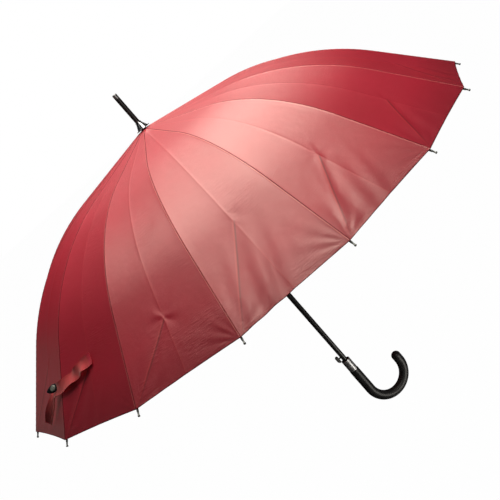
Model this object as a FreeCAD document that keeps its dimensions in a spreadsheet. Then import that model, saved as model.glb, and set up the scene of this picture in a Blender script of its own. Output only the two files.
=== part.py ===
import FreeCAD, Part
import Sketcher
import math
import os
import re

# Stick umbrella, opened. Millimetres. +Z runs along the shaft towards the ferrule, the origin is
# on the shaft's axis in the straight grip, 23 mm under the collar, and the crook opens towards +X.

doc = FreeCAD.newDocument("StickUmbrella")
Vector = FreeCAD.Vector
Rotation = FreeCAD.Rotation
Placement = FreeCAD.Placement

SIZES = {
    # canopy
    "rib_count": 16,
    "apex_height": 666.0,
    "seam_length": 615.0,
    "crown_slope": 10.5,
    "rim_slope": 47.2,
    "arc_start_share": 0.30,
    "arc_end_share": 0.75,
    "fabric_thick": 0.6,
    "canopy_hole_radius": 5.4,
    # shaft and ferrule
    "shaft_radius": 5.25,
    "shaft_bore_radius": 4.45,
    "shaft_bottom": -15.0,
    "shaft_top": 682.0,
    "slot_width": 2.4,
    "slot_bottom": 90.0,
    "slot_top": 453.0,
    "ferrule_radius": 4.7,
    "ferrule_spigot_bottom": 660.0,
    "ferrule_cap_bottom": 738.5,
    "ferrule_tip": 748.5,
    "cup_bottom": 667.6,
    "cup_foot_radius": 11.5,
    "cup_neck_radius": 5.9,
    "rosette_radius": 14.5,
    "rosette_thick": 0.8,
    "rosette_bottom": 666.5,
    # crown and runner
    "pivot_circle_radius": 11.0,
    "hub_radius": 13.5,
    "hub_slot_width": 2.1,
    "hub_slot_depth_radius": 8.8,
    "crown_top": 662.2,
    "crown_bottom": 656.0,
    "wire_radius": 0.7,
    "wire_tunnel_radius": 0.72,
    "runner_bore_radius": 5.33,
    "runner_head_above": 5.5,
    "runner_head_below": 5.0,
    "sleeve_radius": 8.2,
    "sleeve_length": 35.0,
    "sleeve_slot_width": 5.4,
    "drive_pin_radius": 1.0,
    "drive_pin_drop": 20.0,
    # ribs
    "rod_radius": 1.6,
    "rod_depth": 3.4,
    "eye_radius": 1.9,
    "eye_hole_radius": 0.8,
    "tongue_thick": 1.6,
    "tongue_length": 8.0,
    "bracket_station": 276.0,
    "bracket_back": 6.0,
    "bracket_front": 9.0,
    "bracket_width": 3.6,
    "bracket_above": 2.0,
    "bracket_below": 2.4,
    "ear_depth": 5.0,
    "ear_radius": 1.7,
    "ear_thick": 1.4,
    "rivet_radius": 0.7,
    "rivet_hole_radius": 0.78,
    "rivet_length": 3.6,
    "flex_offset": 5.0,
    "flex_slot_width": 1.8,
    "flex_slot_start": 2.0,
    "outer_rod_start": 12.0,
    "tip_length": 9.5,
    "tip_radius": 1.25,
    # stretchers
    "stretcher_length": 285.0,
    "stretcher_width": 3.0,
    "stretcher_depth": 2.4,
    "stretcher_gap": 1.7,
    "stretcher_web": 0.5,
    "flat_length": 32.0,
    "fork_length": 5.0,
    # opening spring
    "spring_top": 655.0,
    "spring_coil_radius": 3.1,
    "spring_wire_radius": 0.5,
    "spring_pitch": 4.0,
    # handle, collar and button
    "grip_radius": 10.0,
    "grip_top": 23.0,
    "grip_bottom": -33.0,
    "crook_radius": 43.5,
    "crook_end_length": 10.0,
    "neck_radius": 8.0,
    "neck_top": 49.0,
    "collar_radius": 9.3,
    "collar_top": 51.5,
    "button_bottom": 55.0,
    "button_length": 14.0,
    "button_back": 9.0,
    "button_thick": 5.6,
    "button_width": 8.0,
    "stem_radius": 1.6,
    "stem_hole_radius": 1.75,
    "stem_inner_reach": 0.5,
    # closure strap
    "strap_station": 531.0,
    "strap_turn": 14.0,
    "strap_width": 20.0,
    "strap_thick": 1.2,
    "strap_gap": 1.0,
    "strap_sewn_length": 93.0,
    "strap_middle_length": 36.0,
    "strap_tail_length": 62.0,
    "strap_tail_width": 14.0,
    "strap_tail_turn": 50.0,
    "strap_overlap": 1.5,
    "stud_radius": 6.0,
    "stud_height": 2.5,
}

sheet = doc.addObject("Spreadsheet::Sheet", "Sizes")
for row, (alias, value) in enumerate(SIZES.items(), start=1):
    sheet.set(f"A{row}", alias)
    sheet.set(f"B{row}", str(value))
    sheet.setAlias(f"B{row}", alias)
doc.recompute()


def size(alias):
    return float(getattr(sheet, alias))


# ---------------------------------------------------------------- helpers

def bind(feature, **expressions):
    """Tie a feature's properties to the sheet: size words become Sizes.word."""
    for name, text in expressions.items():
        feature.setExpression(name, re.sub(r"[a-z]\w+", r"Sizes.\g<0>", text))
    return feature


def cylinder(name, radius, length, place=Placement()):
    feature = doc.addObject("Part::Cylinder", name)
    bind(feature, Radius=radius, Height=length)
    feature.Placement = place
    return feature


def box(name, length, width, height, place=Placement()):
    feature = doc.addObject("Part::Box", name)
    bind(feature, Length=length, Width=width, Height=height)
    feature.Placement = place
    return feature


def torus(name, ring, tube, sweep="360", place=Placement()):
    feature = doc.addObject("Part::Torus", name)
    bind(feature, Radius1=ring, Radius2=tube, Angle3=sweep)
    feature.Placement = place
    return feature


def cone(name, foot, top, length, place=Placement()):
    feature = doc.addObject("Part::Cone", name)
    bind(feature, Radius1=foot, Radius2=top, Height=length)
    feature.Placement = place
    return feature


def sphere(name, radius, place=Placement()):
    feature = doc.addObject("Part::Sphere", name)
    bind(feature, Radius=radius)
    feature.Placement = place
    return feature


def fuse(name, *shapes):
    feature = doc.addObject("Part::MultiFuse", name)
    feature.Shapes = list(shapes)
    return feature


def cut(name, base, *tools):
    feature = doc.addObject("Part::Cut", name)
    feature.Base = base
    feature.Tool = tools[0] if len(tools) == 1 else fuse(f"{name}_tools", *tools)
    return feature


def group(name, *members):
    feature = doc.addObject("Part::Compound", name)
    feature.Links = list(members)
    return feature


def up(height, x=0.0, y=0.0):
    return Placement(Vector(x, y, height), Rotation())


def along_y(point):
    """A cylinder's placement with its axis along Y."""
    return Placement(point, Rotation(Vector(1, 0, 0), -90))


nodes = {}


def node(name, feature):
    feature.Label = name
    nodes[name] = feature
    return feature


# ---------------------------------------------------------------- the canopy's curve
# In a rib's plane the fabric runs straight, bends along one arc and runs straight to the rim.

APEX = size("apex_height")
SEAM = size("seam_length")
SLOPE_1 = math.radians(size("crown_slope"))
SLOPE_2 = math.radians(size("rim_slope"))
ARC_START = size("arc_start_share") * SEAM
ARC_END = size("arc_end_share") * SEAM
ARC_RADIUS = (ARC_END - ARC_START) / (SLOPE_2 - SLOPE_1)
ARC_CENTRE = Vector(
    ARC_START * math.cos(SLOPE_1) - ARC_RADIUS * math.sin(SLOPE_1), 0,
    APEX - ARC_START * math.sin(SLOPE_1) - ARC_RADIUS * math.cos(SLOPE_1))


def slope_at(station):
    """The fabric's slope below horizontal, in radians, this far along the seam."""
    share = (station - ARC_START) / (ARC_END - ARC_START)
    return SLOPE_1 + (SLOPE_2 - SLOPE_1) * min(1.0, max(0.0, share))


def run_direction(slope):
    return Vector(math.cos(slope), 0, -math.sin(slope))


def outward(slope):
    return Vector(math.sin(slope), 0, math.cos(slope))


def seam_point(station, depth=0.0):
    """A point of the rib's plane, depth mm under the fabric's outer face."""
    slope = slope_at(station)
    if station <= ARC_START:
        face = Vector(0, 0, APEX) + run_direction(SLOPE_1) * station
    else:
        face = ARC_CENTRE + outward(slope) * ARC_RADIUS
        face += run_direction(SLOPE_2) * max(0.0, station - ARC_END)
    return face - outward(slope) * depth


def lying(point, slope):
    """Local X runs along the slope and local Z is its outward normal."""
    return Placement(point, Rotation(Vector(0, 1, 0), math.degrees(slope)))


def axis_along(point, slope):
    """A cylinder's placement with its axis running along the slope."""
    return Placement(point, Rotation(Vector(0, 1, 0), 90 + math.degrees(slope)))


def arc_rod(name, start, end):
    """The bent stretch of a rod, between two stations of the arc."""
    slope = slope_at(start)
    turn = Rotation(outward(slope), run_direction(slope), Vector(0, 1, 0), "ZXY")
    sweep = math.degrees(slope_at(end) - slope)
    rod = torus(name, "10", "rod_radius", str(sweep), Placement(ARC_CENTRE, turn))
    rod.setExpression("Radius1", f"{ARC_RADIUS} - Sizes.rod_depth")
    return rod


# ---------------------------------------------------------------- pivots

ROD_DEPTH = size("rod_depth")
PIVOT_RADIUS = size("pivot_circle_radius")
STATION = size("bracket_station")
BRACKET_SLOPE = slope_at(STATION)

crown_station = (PIVOT_RADIUS + ROD_DEPTH * math.sin(SLOPE_1)) / math.cos(SLOPE_1)
CROWN_PIVOT = seam_point(crown_station, ROD_DEPTH)
STRETCHER_PIVOT = seam_point(STATION, ROD_DEPTH + size("ear_depth"))
BRACKET_POINT = seam_point(STATION, ROD_DEPTH)
FLEX_PIVOT = BRACKET_POINT + run_direction(BRACKET_SLOPE) * size("flex_offset")

STRETCHER = size("stretcher_length")
span = STRETCHER_PIVOT.x - PIVOT_RADIUS
RUNNER_HEIGHT = STRETCHER_PIVOT.z - math.sqrt(STRETCHER ** 2 - span ** 2)
RUNNER_PIVOT = Vector(PIVOT_RADIUS, 0, RUNNER_HEIGHT)
STRETCHER_SLOPE = math.atan2(RUNNER_HEIGHT - STRETCHER_PIVOT.z, span)


# ---------------------------------------------------------------- shaft, ferrule, cup

def make_shaft():
    tube = cylinder("shaft_tube", "shaft_radius", "shaft_top - shaft_bottom",
                    up(size("shaft_bottom")))
    bore = cylinder("shaft_bore", "shaft_bore_radius", "shaft_top - shaft_bottom + 2",
                    up(size("shaft_bottom") - 1))
    slot = box("shaft_slot", "slot_width", "shaft_radius + 1", "slot_top - slot_bottom",
               Placement(Vector(-size("slot_width") / 2, 0, size("slot_bottom")), Rotation()))
    middle = size("button_bottom") + size("button_length") / 2
    stem_hole = cylinder("shaft_stem_hole", "stem_hole_radius", "shaft_radius + 2",
                         Placement(Vector(0, 0, middle), Rotation(Vector(0, 1, 0), -90)))
    return cut("shaft", tube, bore, slot, stem_hole)


def make_ferrule():
    spigot = cylinder("ferrule_spigot", "shaft_bore_radius",
                      "shaft_top - ferrule_spigot_bottom + 1", up(size("ferrule_spigot_bottom")))
    rod = cylinder("ferrule_rod", "ferrule_radius", "ferrule_cap_bottom - shaft_top",
                   up(size("shaft_top")))
    cap = cylinder("ferrule_cap_blank", "ferrule_radius",
                   "ferrule_tip - ferrule_cap_bottom", up(size("ferrule_cap_bottom")))
    doc.recompute()
    rounded = doc.addObject("Part::Fillet", "ferrule_cap")
    rounded.Base = cap
    top_edge = 1 + [edge.BoundBox.ZMin for edge in cap.Shape.Edges].index(
        max(edge.BoundBox.ZMin for edge in cap.Shape.Edges))
    rounded.Edges = [(top_edge, 2.0, 2.0)]
    return group("ferrule", fuse("ferrule_sleeve", spigot, rod), rounded)


def make_ferrule_cup():
    flare = cone("cup_flare", "cup_foot_radius", "cup_neck_radius", "shaft_top - cup_bottom - 3",
                 up(size("cup_bottom")))
    neck = cylinder("cup_neck", "cup_neck_radius", "3", up(size("shaft_top") - 3))
    bore = cylinder("cup_bore", "shaft_radius", "shaft_top - cup_bottom + 2",
                    up(size("cup_bottom") - 1))
    cup = cut("ferrule_cup_shell", fuse("cup_blank", flare, neck), bore)
    disc = cylinder("rosette_blank", "rosette_radius", "rosette_thick", up(size("rosette_bottom")))
    hole = cylinder("rosette_hole", "shaft_radius", "rosette_thick + 2",
                    up(size("rosette_bottom") - 1))
    return group("ferrule_cup", cup, cut("rosette", disc, hole))


# ---------------------------------------------------------------- crown and runner

def hub_slots(name, bottom, height):
    """Sixteen slots, one for each rib, open outwards and through the hub's whole height."""
    slots = []
    count = int(size("rib_count"))
    for index in range(count):
        turn = Placement(Vector(), Rotation(Vector(0, 0, 1), 360.0 * index / count))
        corner = Placement(
            Vector(size("hub_slot_depth_radius"), -size("hub_slot_width") / 2, bottom - 1),
            Rotation())
        slots.append(box(f"{name}_{index + 1:02d}", "hub_radius", "hub_slot_width",
                         str(height + 2), turn.multiply(corner)))
    return slots


def make_crown():
    blank = cylinder("crown_blank", "hub_radius", "crown_top - crown_bottom",
                     up(size("crown_bottom")))
    bore = cylinder("crown_bore", "shaft_radius", "crown_top - crown_bottom + 2",
                    up(size("crown_bottom") - 1))
    tunnel = torus("crown_wire_tunnel", "pivot_circle_radius", "wire_tunnel_radius",
                   place=up(CROWN_PIVOT.z))
    wire = torus("crown_wire", "pivot_circle_radius", "wire_radius", place=up(CROWN_PIVOT.z))
    height = size("crown_top") - size("crown_bottom")
    slots = hub_slots("crown_slot", size("crown_bottom"), height)
    return group("crown", cut("crown_hub", blank, bore, tunnel, *slots), wire)


def make_runner():
    bottom = RUNNER_HEIGHT - size("runner_head_below")
    sleeve_bottom = bottom - size("sleeve_length")
    head = cylinder("runner_head", "hub_radius", "runner_head_above + runner_head_below",
                    up(bottom))
    sleeve = cylinder("runner_sleeve", "sleeve_radius", "sleeve_length", up(sleeve_bottom))
    bore = cylinder("runner_bore", "runner_bore_radius", "sleeve_length + 30",
                    up(sleeve_bottom - 5))
    tunnel = torus("runner_wire_tunnel", "pivot_circle_radius", "wire_tunnel_radius",
                   place=up(RUNNER_HEIGHT))
    latch_slot = box("runner_latch_slot", "sleeve_radius + 2", "sleeve_slot_width",
                     "sleeve_length + 1",
                     Placement(Vector(-size("sleeve_radius") - 2, -size("sleeve_slot_width") / 2,
                                      sleeve_bottom - 4), Rotation()))
    slots = hub_slots("runner_slot", bottom,
                      size("runner_head_above") + size("runner_head_below"))
    body = cut("runner_body", fuse("runner_blank", head, sleeve), bore, tunnel, latch_slot, *slots)
    wire = torus("runner_wire", "pivot_circle_radius", "wire_radius", place=up(RUNNER_HEIGHT))
    pin = cylinder("runner_drive_pin", "drive_pin_radius", "sleeve_radius - 1",
                   Placement(Vector(0, 0, RUNNER_HEIGHT - size("drive_pin_drop")),
                             Rotation(Vector(1, 0, 0), -90)))
    return group("runner", fuse("runner_with_pin", body, pin), wire)


# ---------------------------------------------------------------- ribs and stretchers
# Each is made once in the plane of rib 1, which is the XZ plane, and repeated around the shaft.

def make_rib_inner():
    rod_start = seam_point(crown_station + size("tongue_length") - 1, ROD_DEPTH)
    straight = cylinder("rib_inner_straight", "rod_radius",
                        f"seam_length * arc_start_share - tongue_length + 1 - {crown_station}",
                        axis_along(rod_start, SLOPE_1))
    bent = arc_rod("rib_inner_bent", ARC_START, STATION)

    eye = cylinder("rib_inner_eye", "eye_radius", "tongue_thick",
                   along_y(CROWN_PIVOT - Vector(0, size("tongue_thick") / 2, 0)))
    tongue = box("rib_inner_tongue", "tongue_length", "tongue_thick", "eye_radius * 1.3",
                 lying(CROWN_PIVOT, SLOPE_1).multiply(Placement(
                     Vector(0, -size("tongue_thick") / 2, -size("eye_radius") * 0.65),
                     Rotation())))
    eye_hole = cylinder("rib_inner_eye_hole", "eye_hole_radius", "tongue_thick + 2",
                        along_y(CROWN_PIVOT - Vector(0, size("tongue_thick") / 2 + 1, 0)))

    frame = lying(BRACKET_POINT, BRACKET_SLOPE)
    bracket = box("rib_bracket", "bracket_back + bracket_front", "bracket_width",
                  "bracket_above + bracket_below",
                  frame.multiply(Placement(
                      Vector(-size("bracket_back"), -size("bracket_width") / 2,
                             -size("bracket_below")), Rotation())))
    flex_slot = box("rib_flex_slot", "bracket_front", "flex_slot_width", "10",
                    frame.multiply(Placement(
                        Vector(size("flex_slot_start"), -size("flex_slot_width") / 2, -5),
                        Rotation())))
    ear_plate = box("rib_ear_plate", "ear_radius * 2", "ear_thick", "ear_depth",
                    frame.multiply(Placement(
                        Vector(-size("ear_radius"), -size("ear_thick") / 2, -size("ear_depth")),
                        Rotation())))
    ear_round = cylinder("rib_ear_round", "ear_radius", "ear_thick",
                         along_y(STRETCHER_PIVOT - Vector(0, size("ear_thick") / 2, 0)))
    half_rivet = Vector(0, size("rivet_length") / 2, 0)
    stretcher_rivet = cylinder("rib_stretcher_rivet", "rivet_radius", "rivet_length",
                               along_y(STRETCHER_PIVOT - half_rivet))
    flex_rivet = cylinder("rib_flex_rivet", "rivet_radius", "rivet_length",
                          along_y(FLEX_PIVOT - half_rivet))
    # the rod and its tongue, then the bracket round the rod's end, then the two rivets
    front = cut("rib_inner_front", fuse("rib_inner_front_blank", straight, bent, eye, tongue),
                eye_hole)
    back = fuse("rib_inner_back", bracket, ear_plate, ear_round)
    body = cut("rib_inner_body", fuse("rib_inner_blank", front, back), flex_slot)
    return fuse("rib_inner_01", body, stretcher_rivet, flex_rivet)


def make_rib_outer():
    start = STATION + size("outer_rod_start")
    bent = arc_rod("rib_outer_bent", start, ARC_END)
    straight = cylinder("rib_outer_straight", "rod_radius", "seam_length * (1 - arc_end_share)",
                        axis_along(seam_point(ARC_END, ROD_DEPTH), SLOPE_2))
    tip = cylinder("rib_tip", "tip_radius", "tip_length",
                   axis_along(seam_point(SEAM, ROD_DEPTH) - run_direction(SLOPE_2), SLOPE_2))
    tip.setExpression("Height", "Sizes.tip_length + 1")
    tip_end = sphere("rib_tip_end", "tip_radius",
                     Placement(seam_point(SEAM + size("tip_length"), ROD_DEPTH), Rotation()))
    eye = cylinder("rib_outer_eye", "ear_radius", "ear_thick",
                   along_y(FLEX_PIVOT - Vector(0, size("ear_thick") / 2, 0)))
    tongue = box("rib_outer_tongue", "outer_rod_start - flex_offset + 2", "ear_thick",
                 "ear_radius * 1.4",
                 lying(FLEX_PIVOT, BRACKET_SLOPE).multiply(Placement(
                     Vector(0, -size("ear_thick") / 2, -size("ear_radius") * 0.7), Rotation())))
    hole = cylinder("rib_outer_hole", "rivet_hole_radius", "ear_thick + 2",
                    along_y(FLEX_PIVOT - Vector(0, size("ear_thick") / 2 + 1, 0)))
    return cut("rib_outer_01",
               fuse("rib_outer_blank", bent, straight, tip, tip_end, eye, tongue), hole)


def make_stretcher():
    # local X runs up the stretcher from the runner's pivot and the channel opens upwards
    frame = lying(RUNNER_PIVOT, STRETCHER_SLOPE)
    half_width = size("stretcher_width") / 2
    half_depth = size("stretcher_depth") / 2
    half_gap = size("stretcher_gap") / 2
    half_flat = size("tongue_thick") / 2
    flat_end = size("flat_length")

    def placed(x, y, z):
        return frame.multiply(Placement(Vector(x, y, z), Rotation()))

    channel = box("stretcher_channel", "stretcher_length - flat_length", "stretcher_width",
                  "stretcher_depth", placed(flat_end, -half_width, -half_depth))
    trough = box("stretcher_trough", "stretcher_length", "stretcher_gap", "stretcher_depth",
                 placed(flat_end - 1, -half_gap, -half_depth + size("stretcher_web")))
    fork_gap = box("stretcher_fork_gap", "fork_length * 2", "stretcher_gap", "stretcher_depth + 2",
                   placed(STRETCHER - size("fork_length"), -half_gap, -half_depth - 1))
    fork_round = cylinder("stretcher_fork_round", "stretcher_depth / 2", "stretcher_width",
                          along_y(STRETCHER_PIVOT - Vector(0, half_width, 0)))
    rivet_hole = cylinder("stretcher_rivet_hole", "rivet_hole_radius", "stretcher_width + 2",
                          along_y(STRETCHER_PIVOT - Vector(0, half_width + 1, 0)))
    flat = box("stretcher_flat", "flat_length + 4", "tongue_thick", "stretcher_depth",
               placed(0, -half_flat, -half_depth))
    eye = cylinder("stretcher_eye", "eye_radius", "tongue_thick",
                   along_y(RUNNER_PIVOT - Vector(0, half_flat, 0)))
    eye_hole = cylinder("stretcher_eye_hole", "eye_hole_radius", "tongue_thick + 2",
                        along_y(RUNNER_PIVOT - Vector(0, half_flat + 1, 0)))
    open_channel = cut("stretcher_open_channel",
                       fuse("stretcher_channel_blank", channel, fork_round), trough, fork_gap)
    return cut("stretcher_01", fuse("stretcher_blank", open_channel, flat, eye),
               eye_hole, rivet_hole)


def repeat_around(master, stem):
    """The first of a set and its copies, one for each rib."""
    node(f"{stem}_01", master)
    count = int(size("rib_count"))
    for index in range(1, count):
        copy = group(f"{stem}_{index + 1:02d}", master)
        copy.Placement = Placement(Vector(), Rotation(Vector(0, 0, 1), 360.0 * index / count))
        node(f"{stem}_{index + 1:02d}", copy)


# ---------------------------------------------------------------- canopy
# Sixteen gores. Between two ribs the fabric is straight across, so a gore is the rib's profile
# swept along the chord and cut off at the next rib's plane.

def canopy_profile(inner_depth):
    start = size("canopy_hole_radius") / math.cos(SLOPE_1)

    def edges(depth, stations):
        a, b, c, d = [seam_point(station, depth) for station in stations]
        middle = seam_point((ARC_START + ARC_END) / 2, depth)
        return [Part.LineSegment(a, b).toShape(), Part.Arc(b, middle, c).toShape(),
                Part.LineSegment(c, d).toShape()], a, d

    stations = [start, ARC_START, ARC_END, SEAM]
    top, top_start, top_end = edges(0.0, stations)
    under, under_start, under_end = edges(inner_depth, stations)
    ends = [Part.LineSegment(top_end, under_end).toShape(),
            Part.LineSegment(under_start, top_start).toShape()]
    return Part.Face(Part.Wire(Part.sortEdges(top + under + ends)[0]))


def make_canopy():
    step = 2 * math.pi / size("rib_count")
    rim_radius = seam_point(SEAM).x
    chord = Vector(-math.sin(step / 2), math.cos(step / 2), 0)
    width = 2.2 * rim_radius * math.sin(step / 2)
    swept = canopy_profile(size("fabric_thick")).extrude(chord * width)
    reach = 1.2 * rim_radius
    corner_1 = Vector(reach, 0, 0)
    corner_2 = Vector(reach * math.cos(step), reach * math.sin(step), 0)
    wedge = Part.Face(Part.makePolygon([Vector(), corner_1, corner_2, Vector()]))
    gore = swept.common(wedge.extrude(Vector(0, 0, 1.1 * APEX)))
    gores = []
    for index in range(int(size("rib_count"))):
        panel = gore.copy()
        panel.rotate(Vector(), Vector(0, 0, 1), math.degrees(step) * index)
        gores.append(panel.Solids[0])
    feature = doc.addObject("Part::Feature", "canopy")
    feature.Shape = Part.makeCompound(gores)
    return feature


# ---------------------------------------------------------------- opening spring

def make_spring():
    bottom = RUNNER_HEIGHT - size("drive_pin_drop") + size("drive_pin_radius") + 1.0
    helix = doc.addObject("Part::Helix", "spring_helix")
    bind(helix, Pitch="spring_pitch", Radius="spring_coil_radius")
    helix.setExpression("Height", f"Sizes.spring_top - {bottom}")
    helix.Placement = up(bottom)
    section = doc.addObject("Part::Circle", "spring_section")
    bind(section, Radius="spring_wire_radius")
    section.Placement = Placement(Vector(size("spring_coil_radius"), 0, bottom),
                                  Rotation(Vector(1, 0, 0), 90))
    coil = doc.addObject("Part::Sweep", "opening_spring")
    coil.Sections = [section]
    coil.Spine = helix
    coil.Solid = True
    coil.Frenet = True
    return coil


# ---------------------------------------------------------------- handle, collar, button

def make_handle():
    low = size("grip_bottom")
    ring = size("crook_radius")
    grip = cylinder("handle_grip", "grip_radius", "grip_top - grip_bottom", up(low))
    neck = cylinder("handle_neck", "neck_radius", "neck_top - grip_top + 1",
                    up(size("grip_top") - 1))
    # the crook starts at the grip's lower end and turns half a circle towards +X
    turn = Rotation(Vector(-1, 0, 0), Vector(0, 0, -1), Vector(0, -1, 0), "ZXY")
    crook = torus("handle_crook", "crook_radius", "grip_radius", "180",
                  Placement(Vector(ring, 0, low), turn))
    end = cylinder("handle_end", "grip_radius", "crook_end_length", up(low, x=2 * ring))
    knob = sphere("handle_end_round", "grip_radius",
                  up(low + size("crook_end_length"), x=2 * ring))
    bore = cylinder("handle_bore", "shaft_radius", "neck_top - shaft_bottom + 1",
                    up(size("shaft_bottom")))
    return cut("handle", fuse("handle_blank", grip, neck, crook, end, knob), bore)


def make_collar():
    """A turned tube that hides the top of the handle and its neck."""
    body = doc.addObject("PartDesign::Body", "handle_collar")
    plane = next(item for item in body.Origin.OriginFeatures if item.Role == "XZ_Plane")
    sketch = body.newObject("Sketcher::SketchObject", "collar_section")
    sketch.AttachmentSupport = [(plane, "")]
    sketch.MapMode = "FlatFace"
    inner, outer = size("neck_radius"), size("collar_radius")
    low, high = size("grip_top"), size("collar_top")
    corners = [Vector(inner, low, 0), Vector(outer, low, 0), Vector(outer, high, 0),
               Vector(inner, high, 0)]
    for index, corner in enumerate(corners):
        sketch.addGeometry(Part.LineSegment(corner, corners[(index + 1) % 4]), False)
    for index in range(4):
        sketch.addConstraint(Sketcher.Constraint("Coincident", index, 2, (index + 1) % 4, 1))
    sketch.addConstraint(Sketcher.Constraint("Horizontal", 0))
    sketch.addConstraint(Sketcher.Constraint("Vertical", 1))
    sketch.addConstraint(Sketcher.Constraint("Horizontal", 2))
    sketch.addConstraint(Sketcher.Constraint("Vertical", 3))
    for name, kind, vertex, value, alias in (
            ("inner", "DistanceX", 1, inner, "neck_radius"),
            ("outer", "DistanceX", 2, outer, "collar_radius"),
            ("low", "DistanceY", 1, low, "grip_top")):
        place = sketch.addConstraint(Sketcher.Constraint(kind, -1, 1, 0, vertex, value))
        sketch.renameConstraint(place, name)
        sketch.setExpression(f"Constraints.{name}", f"Sizes.{alias}")
    place = sketch.addConstraint(Sketcher.Constraint("DistanceY", -1, 1, 1, 2, high))
    sketch.renameConstraint(place, "high")
    sketch.setExpression("Constraints.high", "Sizes.collar_top")
    turned = body.newObject("PartDesign::Revolution", "collar_turned")
    turned.Profile = sketch
    turned.ReferenceAxis = (sketch, ["V_Axis"])
    turned.Angle = 360.0
    doc.recompute()
    edges = [f"Edge{index + 1}" for index, edge in enumerate(turned.Shape.Edges)
             if edge.BoundBox.ZLength < 1e-6 and abs(edge.BoundBox.XMax - outer) < 1e-3]
    rounded = body.newObject("PartDesign::Fillet", "collar_rounded")
    rounded.Base = (turned, edges)
    rounded.Radius = 0.4
    return body


def make_button():
    """A wedge block that stands off the shaft on a stem and a light metal plate."""
    middle = size("button_bottom") + size("button_length") / 2
    blank = box("button_blank", "button_thick", "button_width", "button_length",
                Placement(Vector(-size("button_back") - size("button_thick"),
                                 -size("button_width") / 2, size("button_bottom")), Rotation()))
    doc.recompute()
    face_x = -size("button_back") - size("button_thick")
    edges = []
    for index, edge in enumerate(blank.Shape.Edges):
        limits = edge.BoundBox
        on_face = limits.XMax < face_x + 1e-6
        if on_face and limits.YLength > 1e-6:
            edges.append((index + 1, 2.2, 2.2))
    block = doc.addObject("Part::Chamfer", "button_block")
    block.Base = blank
    block.Edges = edges
    stem = cylinder("button_stem", "stem_radius", "button_back - stem_inner_reach + 1",
                    Placement(Vector(-size("stem_inner_reach"), 0, middle),
                              Rotation(Vector(0, 1, 0), -90)))
    return fuse("release_button", block, stem)


# ---------------------------------------------------------------- closure strap
# It is sewn to the gore on one side of rib 10, crosses the seam and lies on the next gore.

STRAP_RIB = 10


def strap_side(side):
    """A frame on the gore to one side of the strap's rib: local X runs along the strap."""
    step = 2 * math.pi / size("rib_count")
    angle = (STRAP_RIB - 1) * step
    slope = slope_at(size("strap_station"))
    middle = angle + side * step / 2
    radial = Vector(math.cos(middle), math.sin(middle), 0)
    across = Vector(-radial.y, radial.x, 0) * side
    # the steepest run of a flat gore is a little steeper than its seam
    steep = math.atan(math.tan(slope) / math.cos(step / 2))
    normal = radial * math.sin(steep) + Vector(0, 0, math.cos(steep))
    seam = Rotation(Vector(0, 0, 1), math.degrees(angle)).multVec(
        seam_point(size("strap_station")))
    flat = Placement(seam + normal * size("strap_gap"),
                     Rotation(across, normal.cross(across), normal, "ZXY"))
    return flat.multiply(Placement(Vector(), Rotation(Vector(0, 0, 1), size("strap_turn"))))


def strap_piece(name, side, length, width, start, turn=0.0):
    """A flat length of webbing centred on its own run."""
    place = strap_side(side).multiply(Placement(start, Rotation(Vector(0, 0, 1), turn)))
    place = place.multiply(Placement(Vector(0, -size(width) / 2, 0), Rotation()))
    return box(name, length, width, "strap_thick", place)


def strap_bend(height=0.0):
    """Where the tail leaves the strap, in the frame of the strap's free side."""
    return Vector(size("strap_middle_length") - size("strap_width") / 2, 0, height)


def make_strap():
    start = Vector(-size("strap_overlap"), 0, 0)
    sewn = strap_piece("strap_sewn", 1, "strap_sewn_length + strap_overlap", "strap_width", start)
    middle = strap_piece("strap_middle", -1, "strap_middle_length + strap_overlap",
                         "strap_width", start)
    tail = strap_piece("strap_tail", -1, "strap_tail_length", "strap_tail_width", strap_bend(),
                       size("strap_tail_turn"))
    return fuse("closure_strap", sewn, middle, tail)


def make_stud():
    place = strap_side(-1).multiply(Placement(strap_bend(size("strap_thick")), Rotation()))
    return cylinder("strap_stud", "stud_radius", "stud_height", place)


# ---------------------------------------------------------------- build

node("shaft", make_shaft())
node("ferrule", make_ferrule())
node("ferrule_cup", make_ferrule_cup())
node("crown", make_crown())
node("runner", make_runner())
repeat_around(make_rib_inner(), "rib_inner")
repeat_around(make_rib_outer(), "rib_outer")
repeat_around(make_stretcher(), "stretcher")
node("canopy", make_canopy())
node("opening_spring", make_spring())
node("handle", make_handle())
node("handle_collar", make_collar())
node("release_button", make_button())
node("closure_strap", make_strap())
node("strap_stud", make_stud())
doc.recompute()

for item in doc.Objects:
    if "Invalid" in item.State or "Error" in item.State:
        raise RuntimeError(f"{item.Name} failed: {item.State}")

os.makedirs("parts", exist_ok=True)
for name, feature in nodes.items():
    shape = feature.Shape
    if shape.isNull() or not shape.isValid() or not shape.Solids:
        raise RuntimeError(f"{name} has no valid shape")
    shape.exportStep(f"parts/{name}.step")

print("nodes", len(nodes))
print("crown pivot", CROWN_PIVOT, "bracket pivot", STRETCHER_PIVOT)
print("flex pivot", FLEX_PIVOT, "runner pivot", RUNNER_PIVOT)
sewn_place = strap_side(1)
sewn_end = sewn_place.multVec(Vector(size("strap_sewn_length"), 0, 0))
print("strap hinge", sewn_end, "axis", sewn_place.Rotation.multVec(Vector(0, 1, 0)))
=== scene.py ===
import bpy
import math
import numpy as np
from mathutils import Matrix, Vector


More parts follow.
